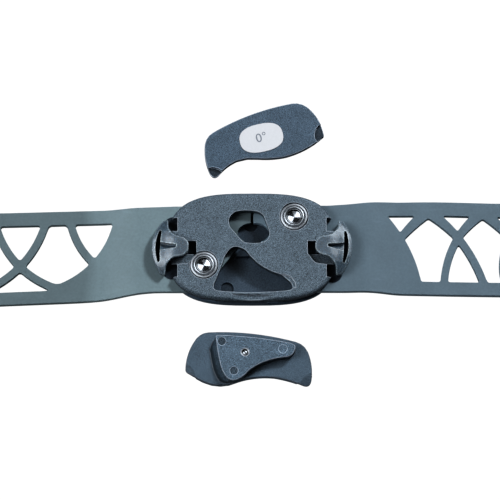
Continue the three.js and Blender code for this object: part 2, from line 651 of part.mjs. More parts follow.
// Finished pieces and their materials
const NYLON = { color: 0x545f67, roughness: 0.6, metalness: 0.0 };
const DARK_NYLON = { color: 0x2e353b, roughness: 0.65, metalness: 0.0 };
const STOP_NYLON = { color: 0x555f6b, roughness: 0.55, metalness: 0.0 };
const COATED_METAL = { color: 0x6f8288, roughness: 0.45, metalness: 0.35 };
const STEEL = { color: 0xd0d3d6, roughness: 0.22, metalness: 1.0 };
const LABEL_WHITE = { color: 0xf1f2f2, roughness: 0.5, metalness: 0.0 };
const PIECES = [
  { name: "back_plate", body: backPlate(), finish: DARK_NYLON },
  { name: "front_plate", body: frontPlate(), finish: NYLON },
  { name: "left_bar", body: leftBar, finish: COATED_METAL },
  { name: "right_bar", body: rightBar, finish: COATED_METAL },
  { name: "left_rivet", body: rivet(PIVOT_LEFT), finish: STEEL },
  { name: "right_rivet", body: rivet(PIVOT_RIGHT), finish: STEEL },
  { name: "left_latch", body: latch(-1), finish: NYLON },
  { name: "right_latch", body: latch(1), finish: NYLON },
  { name: "upper_stop", body: upperStop, finish: STOP_NYLON },
  { name: "stop_label", body: stopLabel, finish: LABEL_WHITE },
  { name: "lower_stop", body: lowerStop, finish: STOP_NYLON },
  { name: "stop_insert", body: stopInsert, finish: STEEL },
];
const group = new THREE.Group();
group.name = "knee_brace_hinge";
PIECES.forEach(({ name, body, finish }) => {
  const mesh = new THREE.Mesh(geometryOf(body), new THREE.MeshStandardMaterial(finish));
  mesh.name = name;
  group.add(mesh);
});

export default group;
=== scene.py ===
"""Looks of a knee brace hinge with pierced side bars and two loose motion stops,
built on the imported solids."""

import json
import math

import bmesh
import bpy
import numpy as np
from mathutils import Matrix, Vector


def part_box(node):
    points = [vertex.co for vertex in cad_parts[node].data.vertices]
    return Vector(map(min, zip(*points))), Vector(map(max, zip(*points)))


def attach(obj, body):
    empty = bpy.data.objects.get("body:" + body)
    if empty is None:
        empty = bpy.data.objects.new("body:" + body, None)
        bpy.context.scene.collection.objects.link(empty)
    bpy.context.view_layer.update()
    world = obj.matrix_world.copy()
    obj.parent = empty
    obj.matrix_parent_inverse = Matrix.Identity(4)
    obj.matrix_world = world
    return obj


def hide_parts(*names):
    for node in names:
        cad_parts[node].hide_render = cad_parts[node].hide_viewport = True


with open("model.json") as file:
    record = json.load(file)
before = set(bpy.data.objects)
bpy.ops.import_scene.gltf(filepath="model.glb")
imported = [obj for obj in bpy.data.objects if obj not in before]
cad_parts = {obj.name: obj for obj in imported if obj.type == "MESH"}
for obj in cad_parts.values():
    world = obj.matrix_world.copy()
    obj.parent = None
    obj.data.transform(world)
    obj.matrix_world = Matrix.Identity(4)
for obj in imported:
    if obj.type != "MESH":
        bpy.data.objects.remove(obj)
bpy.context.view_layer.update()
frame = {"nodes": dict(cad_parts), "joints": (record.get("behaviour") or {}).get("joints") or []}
NODES = frame["nodes"]
PIVOTS = {joint["name"]: joint.get("pos_m") for joint in frame["joints"]}
MM = 0.001


def table(columns, *rows):
    """Rows as dictionaries under these column names."""
    return [dict(zip(columns.split(), row)) for row in rows]


# Camera: leaning back from straight above the hinge, with a long lens
TILT = math.radians(15)
CAMERA_DISTANCE = 1.5
CAMERA_REACH = 20
VIEW_WIDTH = 170 * MM
VIEW_CENTRE = Vector((-0.68, 0.1, 4.0)) * MM
SENSOR = 36


def add_camera():
    data = bpy.data.cameras.new("camera")
    data.sensor_width = SENSOR
    data.lens = SENSOR * CAMERA_DISTANCE / VIEW_WIDTH
    data.clip_end = CAMERA_REACH
    camera = bpy.data.objects.new("camera", data)
    back = Vector((0, -math.sin(TILT), math.cos(TILT)))
    camera.location = VIEW_CENTRE + CAMERA_DISTANCE * back
    camera.rotation_euler = (TILT, 0, 0)
    bpy.context.collection.objects.link(camera)
    bpy.context.scene.camera = camera


# Lamps light the surfaces and cards show only as highlights:
# direction in degrees, distance and size in metres, power in watts
LIGHTS = table(
    "name azimuth elevation distance size power card",
    ("key", 49, 41, 1.0, 0.16, 9.0, False),
    ("left", 186, 43, 0.9, 0.48, 5.0, False),
    ("key_card", 49, 43, 1.0, 0.74, 4.0, True),
    ("left_card", 182, 51, 0.9, 0.7, 3.8, True),
    ("south_card", 270, 80, 1.2, 0.45, 1.0, True),
    ("north_card", 90, 62, 1.2, 0.7, 0.7, True),
)
LAMP_WHITE = (1, 1, 1)
CARD_TINT = (0.93, 0.99, 1.05)
SKY_TINT = (0.95, 0.98, 1.0, 1)
SKY_LEVEL = 0.012


def add_lights():
    for row in LIGHTS:
        data = bpy.data.lights.new(row["name"], "AREA")
        data.energy = row["power"]
        data.size = row["size"]
        data.color = CARD_TINT if row["card"] else LAMP_WHITE
        light = bpy.data.objects.new(row["name"], data)
        azimuth = math.radians(row["azimuth"])
        elevation = math.radians(row["elevation"])
        way = Vector((
            math.cos(elevation) * math.cos(azimuth),
            math.cos(elevation) * math.sin(azimuth),
            math.sin(elevation),
        ))
        light.location = row["distance"] * way
        light.rotation_euler = way.to_track_quat("Z", "Y").to_euler()
        light.visible_diffuse = not row["card"]
        light.visible_glossy = row["card"]
        bpy.context.collection.objects.link(light)
    world = bpy.data.worlds.new("studio")
    world.use_nodes = True
    sky = world.node_tree.nodes["Background"]
    sky.inputs["Color"].default_value = SKY_TINT
    sky.inputs["Strength"].default_value = SKY_LEVEL
    bpy.context.scene.world = world
    view = bpy.context.scene.view_settings
    view.view_transform = "Standard"
    view.look = "High Contrast"


# Noise is turned off the axes, so that flat faces cut it evenly, and its values mostly lie in this span
NOISE_TURN = (0.6, 0.5, 0.3)
NOISE_LOW, NOISE_HIGH = 0.3, 0.7


class Paint:
    """A node material with helpers that each add one texture step."""

    def __init__(self, name):
        self.material = bpy.data.materials.new(name)
        self.material.use_nodes = True
        self.tree = self.material.node_tree
        self.shader = self.tree.nodes["Principled BSDF"]
        self.place = self.add("ShaderNodeTexCoord").outputs["Object"]

    def add(self, kind, **inputs):
        node = self.tree.nodes.new(kind)
        for name, value in inputs.items():
            self.put(node, name, value)
        return node

    def put(self, node, name, value):
        target = node.inputs[name.replace("_", " ")]
        if isinstance(value, bpy.types.NodeSocket):
            self.tree.links.new(value, target)
        else:
            target.default_value = value

    def set(self, **inputs):
        for name, value in inputs.items():
            self.put(self.shader, name, value)

    def noise(self, size, detail=2.0, stretch=(1, 1, 1)):
        """Noise around 0.5 with grains of this many millimetres."""
        place = self.add("ShaderNodeMapping", Vector=self.place, Scale=stretch).outputs["Vector"]
        place = self.add("ShaderNodeMapping", Vector=place, Rotation=NOISE_TURN).outputs["Vector"]
        node = self.add("ShaderNodeTexNoise", Vector=place, Scale=1 / (size * MM), Detail=detail)
        return node.outputs["Fac"]

    def ramp(self, fac, stops):
        node = self.add("ShaderNodeValToRGB", Fac=fac)
        elements = node.color_ramp.elements
        while len(elements) < len(stops):
            elements.new(0.5)
        for element, (at, colour) in zip(elements, stops):
            element.position = at
            element.color = (*colour, 1)
        return node.outputs["Color"]

    def grains(self, fac, low, high):
        """From one colour to another over the span of noise."""
        return self.ramp(fac, [(NOISE_LOW, low), (NOISE_HIGH, high)])

    def fit(self, fac, low, high, start=NOISE_LOW, end=NOISE_HIGH):
        """From low to high while the factor goes from start to end."""
        node = self.add(
            "ShaderNodeMapRange", Value=fac, From_Min=start, From_Max=end, To_Min=low, To_Max=high,
        )
        return node.outputs["Result"]

    def blend(self, share, low, high):
        """From low to high while the share goes from 0 to 1."""
        return self.fit(share, low, high, 0, 1)

    def tint(self, colour, fac):
        """The colour made lighter or darker by a factor that varies."""
        node = self.add("ShaderNodeMix")
        node.data_type = "RGBA"
        node.blend_type = "MULTIPLY"
        node.inputs["Factor"].default_value = 1
        self.tree.links.new(colour, node.inputs["A"])
        self.tree.links.new(fac, node.inputs["B"])
        return node.outputs["Result"]

    def rise(self, low, high):
        """From 0 to 1 between two heights in millimetres."""
        height = self.add("ShaderNodeSeparateXYZ", Vector=self.place).outputs["Z"]
        return self.fit(height, 0, 1, low * MM, high * MM)

    def disc(self, x, y, r, soft):
        """From 1 inside a round spot to 0 outside it, in millimetres."""
        off = self.add("ShaderNodeVectorMath")
        off.operation = "SUBTRACT"
        self.tree.links.new(self.place, off.inputs[0])
        off.inputs[1].default_value = (x * MM, y * MM, 0)
        flat = self.add("ShaderNodeVectorMath")
        flat.operation = "MULTIPLY"
        self.tree.links.new(off.outputs["Vector"], flat.inputs[0])
        flat.inputs[1].default_value = (1, 1, 0)
        length = self.add("ShaderNodeVectorMath")
        length.operation = "LENGTH"
        self.tree.links.new(flat.outputs["Vector"], length.inputs[0])
        return self.fit(length.outputs["Value"], 1, 0, (r - soft) * MM, r * MM)

    def bump(self, height, depth):
        node = self.add("ShaderNodeBump", Height=height, Distance=depth * MM, Strength=1.0)
        return node.outputs["Normal"]


def srgb(r, g, b):
    def linear(v):
        v /= 255
        return v / 12.92 if v <= 0.04045 else ((v + 0.055) / 1.055) ** 2.4

    return tuple(linear(v) for v in (r, g, b))


def shade(colour, k):
    return tuple(min(1, c * k) for c in colour)


# Vertex attribute that paints highlights on a piece's proud edges and paints shade on its walls
TONE = "tone"
# Painted edge highlights lose their blue: red and blue factors at full tone
EDGE_HIGHLIGHT_TINT = {"tone": 3, "red": 1.2, "blue": 0.84}
# Clouds in nylon and the painted highlight ring around a mark, in millimetres, how far the roughness varies,
# and the size of the bumps as a share of the grain
NYLON_CLOUD = {"size": 6.0, "dark": 0.92, "light": 1.08}
MARK_HIGHLIGHT_RING = {"width": 0.35, "soft": 0.25}
NYLON_POLISH = 0.07
NYLON_BUMPS = 0.8
COAT_ROUGHNESS = 0.26


def nylon(
    name, colour, *, speckle, grain, roughness, depth, spread=0.18, bumps=None, calm=None,
    shine=0.4, coat=0.0, steps=(), marks=(), toned=False,
):
    """Moulded nylon with a fine sparked grain. Its filler makes speckles, which can be calmer low down.
    Steps paint shade low on its walls by changing its level with height, and marks paint shade in round
    spots with a painted highlight ring around them."""
    paint = Paint(name)
    fleck = paint.noise(grain)
    cloud = paint.noise(NYLON_CLOUD["size"])
    if calm:
        rise, half = paint.rise(calm["low"], calm["high"]), calm["share"] / 2
        fleck = paint.blend(fleck, paint.blend(rise, 0.5 - half, 0), paint.blend(rise, 0.5 + half, 1))
    base = paint.ramp(fleck, [
        (0.5 - spread, shade(colour, 1 / (1 + speckle))),
        (0.5, colour),
        (0.5 + spread, shade(colour, 1 + speckle)),
    ])
    base = paint.tint(base, paint.fit(cloud, NYLON_CLOUD["dark"], NYLON_CLOUD["light"]))
    for step in steps:
        rise = paint.rise(step["low"], step["high"])
        base = paint.tint(base, paint.blend(rise, step["below"], step["above"]))
    for mark in marks:
        x, y, r, ring = (mark[key] for key in ("x", "y", "r", "ring"))
        around = paint.disc(x, y, r + MARK_HIGHLIGHT_RING["width"], MARK_HIGHLIGHT_RING["soft"])
        base = paint.tint(base, paint.blend(around, 1, ring))
        base = paint.tint(base, paint.blend(paint.disc(x, y, r, mark["soft"]), 1, mark["level"] / ring))
    # Painted highlights on a latch's proud edges and painted shade on its walls, from the vertex attribute
    if toned:
        attribute = paint.add("ShaderNodeAttribute")
        attribute.attribute_name = TONE
        tone = attribute.outputs["Fac"]
        red = paint.fit(tone, 1, EDGE_HIGHLIGHT_TINT["red"], 1, EDGE_HIGHLIGHT_TINT["tone"])
        blue = paint.fit(tone, 1, EDGE_HIGHLIGHT_TINT["blue"], 1, EDGE_HIGHLIGHT_TINT["tone"])
        grey = paint.add("ShaderNodeCombineXYZ", X=red, Y=1.0, Z=blue)
        base = paint.tint(paint.tint(base, tone), grey.outputs["Vector"])
    paint.set(Base_Color=base)
    paint.set(Roughness=paint.fit(fleck, roughness + NYLON_POLISH, roughness - NYLON_POLISH))
    paint.set(Normal=paint.bump(paint.noise(bumps or NYLON_BUMPS * grain), depth))
    paint.set(Specular_IOR_Level=shine, Coat_Weight=coat, Coat_Roughness=COAT_ROUGHNESS)
    return paint.material


# Coating on the bars: sizes and depth in millimetres, and the levels that each texture brings
COAT_CLOUD = {"size": 11.0, "detail": 3, "dark": 0.95, "light": 1.05}
COAT_PEEL = {"size": 0.8, "depth": 0.01, "dark": 0.95, "light": 1.05, "smooth": 0.44, "rough": 0.54}
COAT_STREAK = {"size": 2.4, "detail": 3, "stretch": (0.25, 1.6, 1.0), "light": 1.1, "from": 0.58, "to": 0.75}
COAT_SHINE = 0.28


def coated_metal(name, colour, spots):
    """Satin coating on sheet: faint clouds, fine orange peel and a few rubbed streaks.
    Spots paint shade and light on large places by giving them their own level."""
    paint = Paint(name)
    cloud = paint.noise(COAT_CLOUD["size"], COAT_CLOUD["detail"])
    fine = paint.noise(COAT_PEEL["size"])
    streak = paint.noise(COAT_STREAK["size"], COAT_STREAK["detail"], COAT_STREAK["stretch"])
    base = paint.grains(cloud, shade(colour, COAT_CLOUD["dark"]), shade(colour, COAT_CLOUD["light"]))
    for spot in spots:
        disc = paint.disc(spot["x"], spot["y"], spot["r"], spot["soft"])
        base = paint.tint(base, paint.blend(disc, 1, spot["level"]))
    rubbed = paint.fit(streak, 1, COAT_STREAK["light"], COAT_STREAK["from"], COAT_STREAK["to"])
    base = paint.tint(base, rubbed)
    paint.set(Base_Color=paint.tint(base, paint.fit(fine, COAT_PEEL["dark"], COAT_PEEL["light"])))
    paint.set(Roughness=paint.fit(fine, COAT_PEEL["smooth"], COAT_PEEL["rough"]))
    paint.set(Normal=paint.bump(fine, COAT_PEEL["depth"]))
    paint.set(Specular_IOR_Level=COAT_SHINE)
    return paint.material


# Steel and card: grain and its depth in millimetres, how far the roughness goes,
# and the colours or level in the low and high places of the grain
STEEL = {"size": 0.3, "depth": 0.003, "vary": 0.03, "low": (0.88, 0.9, 0.93), "high": (1.04, 1.07, 1.11)}
CARD = {"size": 0.6, "depth": 0.006, "smooth": 0.45, "rough": 0.55, "dark": 0.96}


def steel(name, level, roughness):
    """Turned steel with a fine grain."""
    paint = Paint(name)
    fine = paint.noise(STEEL["size"])
    low, high = ([level * part for part in STEEL[end]] for end in ("low", "high"))
    paint.set(Base_Color=paint.grains(fine, low, high))
    paint.set(Roughness=paint.fit(fine, roughness - STEEL["vary"], roughness + STEEL["vary"]))
    paint.set(Normal=paint.bump(fine, STEEL["depth"]))
    paint.set(Metallic=1.0)
    return paint.material


def card(name, colour):
    """Printed card with a faint grain."""
    paint = Paint(name)
    fine = paint.noise(CARD["size"])
    paint.set(Base_Color=paint.grains(fine, shade(colour, CARD["dark"]), colour))
    paint.set(Roughness=paint.fit(fine, CARD["smooth"], CARD["rough"]))
    paint.set(Normal=paint.bump(fine, CARD["depth"]))
    return paint.material


# Round marks sunk in the back plate and in the lower stop, in millimetres, with the level of their floor,
# which paints shade in them, and of the ring around them, which paints a highlight
SUNK_COLUMNS = "x y r top depth soft level ring"
BACK_MARKS = table(
    SUNK_COLUMNS,
    (-8.5, -13.2, 2.3, 2.4, 0.7, 0.15, 0.55, 1.5),
    (-0.4, 9.3, 2.3, 2.4, 1.2, 0.15, 0.5, 1.0),
)
STOP_MARKS = table(
    SUNK_COLUMNS,
    (-10.2, -32.3, 1.35, 5.9, 0.3, 0.15, 0.5, 1.5),
    (-6.1, -42.5, 1.35, 5.9, 0.3, 0.15, 0.6, 1.5),
    (10.4, -34.95, 1.4, 5.9, 0.12, 0.15, 1.0, 1.7),
)
# Painted shade on the sloped tips on the back of the lower stop and in the tip recesses of the upper one,
# with a painted highlight ring round the recesses, and the back plate's painted shadow deep inside the hinge
SPOT_COLUMNS = "x y r soft level ring"
LOWER_TIPS = table(SPOT_COLUMNS, (-24.5, -44.0, 5.4, 0.15, 0.68, 1.0), (21.5, -47.5, 5.4, 0.15, 0.68, 1.0))
UPPER_TIPS = table(SPOT_COLUMNS, (-13.2, 24.63, 4.2, 0.15, 0.5, 1.8), (25.2, 40.6, 3.9, 0.15, 0.6, 1.8))
BACK_SHADE = table(SPOT_COLUMNS, (-6.5, -5.0, 6.0, 4.5, 0.25, 1.0), (1.5, 6.5, 7.0, 3.5, 0.55, 1.0))
# Painted shade on the left bar's inner end and on its pierced part, and painted light on the right bar's
# inner end
BAR_COLUMNS = "x y r soft level"
LEFT_BAR_SHADE = table(BAR_COLUMNS, (-3.5, 9.0, 9.0, 4.0, 0.6), (-140.0, -3.0, 88.0, 4.5, 0.7))
RIGHT_BAR_LIGHT = table(BAR_COLUMNS, (3.5, 6.5, 7.5, 4.0, 2.0))
# Levels that change between two heights in millimetres, which paint shade low on walls
STEP_COLUMNS = "low high below above"

# Front plate: painted shade on its walls and underside below 7.7 mm
HOUSING_NYLON = nylon(
    "housing_nylon", srgb(74, 85, 94), speckle=1.5, grain=0.2, spread=0.1, roughness=0.5, depth=0.03,
    steps=table(STEP_COLUMNS, (6.0, 7.7, 0.35, 1)),
)
# Lighter copy of the housing nylon that paints a highlight on its rounded edges
HOUSING_EDGE_HIGHLIGHT = nylon("housing_edge_highlight", srgb(140, 150, 160), speckle=0.3, grain=0.3, roughness=0.38, depth=0.02)
# Back plate: painted shade in its sunk marks and deep inside the hinge
BACK_NYLON = nylon(
    "back_nylon", srgb(68, 80, 92), speckle=0.25, grain=0.4, roughness=0.5, depth=0.03, shine=0.2,
    marks=BACK_MARKS + BACK_SHADE,
)
LATCH_NYLON = nylon(
    "latch_nylon", srgb(58, 70, 80), speckle=1.5, grain=0.22, spread=0.1, roughness=0.26, depth=0.05,
    bumps=0.5, shine=1.0, coat=1.0, toned=True,
)
# Near-black nylon that paints shade on the floor of the latches' nail slots
SLOT_SHADE_NYLON = nylon(
    "slot_shade_nylon", srgb(24, 28, 33), speckle=0.3, grain=0.3, roughness=0.7, depth=0.02, shine=0.1,
)
# Dark nylon of the pads that paint shade in the openings beside the latches
SHADE_PAD_NYLON = nylon(
    "shade_pad_nylon", srgb(42, 49, 57), speckle=0.3, grain=0.3, roughness=0.7, depth=0.02, shine=0.1,
)
# Upper stop: painted shade on its walls below 5.5 mm and in its tip recesses
STOP_NYLON = nylon(
    "stop_nylon", srgb(66, 80, 93), speckle=1.0, grain=0.2, spread=0.1, roughness=0.48, depth=0.03,
    marks=UPPER_TIPS, steps=table(STEP_COLUMNS, (4.2, 5.5, 0.35, 1)),
)
# Lower stop: painted shade on the wedge's walls, in its sunk marks and on its sloped tips
MARKED_NYLON = nylon(
    "marked_nylon", srgb(68, 82, 94), speckle=1.7, grain=0.2, spread=0.1, roughness=0.48, depth=0.03,
    marks=STOP_MARKS + LOWER_TIPS, calm={"low": 3.5, "high": 5.0, "share": 0.27},
    steps=table(STEP_COLUMNS, (2.45, 2.7, 1, 0.35), (3.3, 4.0, 1, 1.9), (5.4, 5.7, 1, 1.6)),
)
# Lighter copies of the stop nylon that paint highlights on rounded edges; the lower stop's is also darker
# low down as painted shade
STOP_EDGE_HIGHLIGHT = nylon("stop_edge_highlight", srgb(140, 150, 163), speckle=0.3, grain=0.3, roughness=0.36, depth=0.02)
MARKED_EDGE_HIGHLIGHT = nylon(
    "marked_edge_highlight", srgb(150, 160, 173), speckle=0.3, grain=0.3, roughness=0.36, depth=0.02,
    steps=table(STEP_COLUMNS, (5.3, 5.7, 0.3, 1)),
)
LEFT_COAT = coated_metal("left_bar_coat", srgb(108, 124, 130), LEFT_BAR_SHADE)
RIGHT_COAT = coated_metal("right_bar_coat", srgb(92, 107, 117), RIGHT_BAR_LIGHT)
POLISHED = steel("polished_steel", level=0.47, roughness=0.2)
SATIN = steel("satin_steel", level=0.47, roughness=0.46)
# Lighter and darker copies of the steel that paint a highlight on the rivet lip and shade in its step and
# groove
LIP_HIGHLIGHT_STEEL = steel("lip_highlight_steel", level=0.85, roughness=0.36)
GROOVE_SHADE_STEEL = steel("groove_shade_steel", level=0.2, roughness=0.5)
LABEL_WHITE = card("label_white", srgb(189, 192, 197))
PRINT_GREY = card("print_grey", srgb(112, 118, 128))

# Shapes: vertices that are closer than this are one, flat faces differ by less than this angle,
# and an eased edge has this many steps
JOIN = 0.002 * MM
FLAT_ANGLE = math.radians(0.6)
EASE_STEPS = 3


def link(name, mesh, look):
    piece = bpy.data.objects.new(name, mesh)
    bpy.context.collection.objects.link(piece)
    mesh.materials.clear()
    mesh.materials.append(look)
    return piece


def baked(piece):
    """Turns the piece's modifiers into mesh."""
    graph = bpy.context.evaluated_depsgraph_get()
    look = piece.data.materials[0]
    mesh = bpy.data.meshes.new_from_object(piece.evaluated_get(graph))
    piece.modifiers.clear()
    piece.data = mesh
    mesh.materials.clear()
    mesh.materials.append(look)


def copied(node, name, look):
    """A copy of a solid with its triangles joined."""
    mesh = NODES[node].data.copy()
    work = bmesh.new()
    work.from_mesh(mesh)
    bmesh.ops.remove_doubles(work, verts=work.verts, dist=JOIN)
    work.to_mesh(mesh)
    work.free()
    return link(name, mesh, look)


def rounded(rows, steps=4, most=0.45):
    """Points of a profile whose corners are rounded by each row's third value,
    over at most this share of the sides."""
    points = [Vector(rows[0][:2])]
    for before, row, after in zip(rows, rows[1:], rows[2:]):
        corner = Vector(row[:2])
        ends = [Vector(before[:2]), Vector(after[:2])]
        reach = [min(row[2], most * (end - corner).length) for end in ends]
        start, stop = (corner + r * (end - corner).normalized() for r, end in zip(reach, ends))
        for i in range(steps + 1):
            t = i / steps
            points.append((1 - t) ** 2 * start + 2 * t * (1 - t) * corner + t * t * stop)
    points.append(Vector(rows[-1][:2]))
    return points


def turned(name, rows, at, look, steps=96, bands=(), above=0):
    """A body turned about an upright axis, from rows of radius, height and rounding in millimetres.
    Each band gives the faces above a height and within a radius their own look."""
    points = rounded(rows)
    vertices = [(at[0], at[1], points[0].y * MM)]
    for point in points[1:-1]:
        for i in range(steps):
            angle = 2 * math.pi * i / steps
            vertices.append((
                at[0] + point.x * MM * math.cos(angle), at[1] + point.x * MM * math.sin(angle), point.y * MM,
            ))
    vertices.append((at[0], at[1], points[-1].y * MM))
    rings = len(points) - 2
    last = len(vertices) - 1
    faces = []
    for i in range(steps):
        j = (i + 1) % steps
        faces.append((0, 1 + j, 1 + i))
        for k in range(rings - 1):
            low, high = 1 + k * steps, 1 + (k + 1) * steps
            faces.append((low + i, low + j, high + j, high + i))
        top = 1 + (rings - 1) * steps
        faces.append((top + i, top + j, last))
    mesh = bpy.data.meshes.new(name)
    mesh.from_pydata(vertices, [], faces)
    mesh.shade_smooth()
    piece = link(name, mesh, look)
    for band in bands:
        mesh.materials.append(band["look"])
    for face in mesh.polygons:
        away = Vector((face.center.x - at[0], face.center.y - at[1])).length
        fits = [i for i, band in enumerate(bands, 1) if away < band["r"] * MM and face.center.z > above * MM]
        face.material_index = min(fits, default=0)
    return piece


def carved(piece, cutters):
    """Cuts the pieces away and removes them."""
    for i, cutter in enumerate(cutters):
        away = piece.modifiers.new(f"cut_{i}", "BOOLEAN")
        away.operation = "DIFFERENCE"
        away.solver = "EXACT"
        away.object = cutter
    baked(piece)
    for cutter in cutters:
        bpy.data.objects.remove(cutter)


def joined(piece, name):
    weld = piece.modifiers.new(name, "WELD")
    weld.merge_threshold = JOIN


def eased(piece, ease, edge_look, angle=38, flatten=True):
    """Joined flat faces without their inner edges, and every sharp edge a little rounded, in an edge look
    that can paint a highlight on it.
    """
    piece.data.materials.append(edge_look)
    joined(piece, "weld")
    if flatten:
        flat = piece.modifiers.new("flat", "DECIMATE")
        flat.decimate_type = "DISSOLVE"
        flat.angle_limit = FLAT_ANGLE
    bevel = piece.modifiers.new("ease", "BEVEL")
    bevel.limit_method = "ANGLE"
    bevel.angle_limit = math.radians(angle)
    bevel.width = ease * MM
    bevel.segments = EASE_STEPS
    bevel.use_clamp_overlap = False
    # The rounded edges take the edge look, which can paint a highlight on them
    bevel.material = 1
    joined(piece, "close")
    normals = piece.modifiers.new("normals", "WEIGHTED_NORMAL")
    normals.keep_sharp = True
    piece.data.shade_smooth()


def dress(piece, body, node):
    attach(piece, body)
    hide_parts(node)


# Rivets: flange that falls outward, groove, round lip, step in painted shade, steep edge and a cone inside,
# as rows of radius, height and rounding
RIVET_PROFILE = [
    (0, 0.3, 0), (4.2, 0.3, 0.3), (4.2, 1.3, 0.1), (2.6, 1.3, 0.1), (2.6, 7.3, 0.1), (4.6, 7.3, 0.1),
    (4.6, 8.12, 0.15), (3.95, 8.32, 0.1), (3.8, 7.9, 0.06), (3.6, 7.9, 0.06), (3.5, 8.6, 0.2),
    (3.2, 8.9, 0.25), (2.95, 8.7, 0.15), (2.85, 8.2, 0.06), (2.68, 8.1, 0.05), (2.58, 8.4, 0.06),
    (2.46, 8.4, 0.05), (2.1, 8.06, 0.08), (0.25, 7.42, 0.1), (0, 7.39, 0),
]
# Bands of look: a polished cone, painted shade in the step inside the lip and the groove outside it, and a
# lighter steel on the lip as a painted highlight
RIVET_BANDS = table("r look", (2.6, POLISHED), (2.86, GROOVE_SHADE_STEEL), (3.58, LIP_HIGHLIGHT_STEEL), (3.86, GROOVE_SHADE_STEEL))
RIVET_HEAD = 7.35


def add_rivets():
    for side in ("left", "right"):
        at = PIVOTS[f"{side}_flex"]
        rivet = turned(f"{side}_turned_rivet", RIVET_PROFILE, at, SATIN, bands=RIVET_BANDS, above=RIVET_HEAD)
        dress(rivet, "hinge", f"{side}_rivet")


# Thin dark pads that slide with the latches, put under the openings beside them as painted shade
SHADE_PADS = table(
    "x y r",
    (-26.9, 8.2, 3.1), (-27.2, -7.2, 3.3), (-20.6, 1.5, 3.4), (27.4, -8.4, 3.2), (20.6, -1.0, 3.4),
)
SHADE_PAD = {"low": 5.07, "rim": 5.15, "top": 5.22, "edge": 0.4, "dish": 0.03, "middle": 0.3, "steps": 48}


def add_shade_pads():
    floor = SHADE_PAD["top"] - SHADE_PAD["dish"]
    for i, pad in enumerate(SHADE_PADS):
        rows = [
            (0, SHADE_PAD["low"], 0), (pad["r"], SHADE_PAD["low"], 0.02), (pad["r"], SHADE_PAD["rim"], 0.04),
            (pad["r"] - SHADE_PAD["edge"], SHADE_PAD["top"], 0.1), (SHADE_PAD["middle"], floor, 0.1), (0, floor, 0),
        ]
        piece = turned(f"slide_pad_{i}", rows, (pad["x"] * MM, pad["y"] * MM), SHADE_PAD_NYLON, SHADE_PAD["steps"])
        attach(piece, "left_slider" if pad["x"] < 0 else "right_slider")


# Latches, in millimetres: the wings fall towards their tips, the thumb rest is dished and leans outward,
# and the groove slopes. "share" says from which height and over how much the drop grows to its full depth.
LATCH_VOXEL = 0.11
LATCH_AXIS = 28.4
LATCH_TURN = math.radians(-3)
LATCH_FALL = {"from": 2.6, "to": 9.8, "depth": 2.3, "power": 1.8, "most": 1.1}
LATCH_DISH = {"at": 29.0, "width": 1.8, "half": 5.2, "depth": 0.3, "power": 4}
LATCH_RIM = {"chord": 30.8, "half": 9.2, "bow": 3.3, "width": 1.4, "slope": 0.1, "most": 2}
LATCH_LEAN = {"from": 27.6, "slope": 0.26, "ease": 0.8}
LATCH_GROOVE = {"tip": 25.9, "end": 31.4, "tip_half": 0.4, "end_half": 1.35, "depth": 0.9, "above": 8.6}
GROOVE_ROOM = {"tip": -0.02, "end": 1.05, "side": 0.03}
LATCH_SHARE = {"from": 6.6, "over": 3.5}
LATCH_SLOT = {"inner": 30.8, "outer": 31.75, "bow": 1.1, "half": 5.9, "low": 6.8, "high": 8.3}
LATCH_SOFT = 3
SMOOTH_FACTOR = 0.5
# Painted highlights where the latches stand proud at their edges, and painted shade on their walls below 8.8
# mm
LATCH_EDGE_HIGHLIGHT = {"rounds": 40, "full": 0.07, "gain": 2.4}
LATCH_WALL_SHADE = {"low": 6.4, "high": 8.8, "level": 0.3}


def places(mesh):
    spots = np.empty(3 * len(mesh.vertices), dtype=np.float32)
    mesh.vertices.foreach_get("co", spots)
    return spots.reshape(-1, 3)


def smoothed(piece, rounds):
    soft = piece.modifiers.new("soft", "SMOOTH")
    soft.factor = SMOOTH_FACTOR
    soft.iterations = rounds
    baked(piece)


def proud_share(piece, rounds, full):
    """How far each vertex stands proud of the smoothed shape, 1 at this many millimetres."""
    sharp = piece.data
    ways = np.array([vertex.normal for vertex in sharp.vertices])
    spare = link(piece.name + "_spare", sharp.copy(), sharp.materials[0])
    smoothed(spare, rounds)
    proud = ((places(sharp) - places(spare.data)) * ways).sum(axis=1) / MM
    bpy.data.objects.remove(spare)
    return np.clip(proud / full, 0, 1)


def latch_places(spots, sign):
    """Distance out from the hinge, distance north of the latch's axis and height, in millimetres."""
    x = sign * spots[:, 0] / MM - LATCH_AXIS
    y = sign * spots[:, 1] / MM
    out = LATCH_AXIS + x * math.cos(LATCH_TURN) + y * math.sin(LATCH_TURN)
    north = sign * (y * math.cos(LATCH_TURN) - x * math.sin(LATCH_TURN))
    return out, north, spots[:, 2] / MM


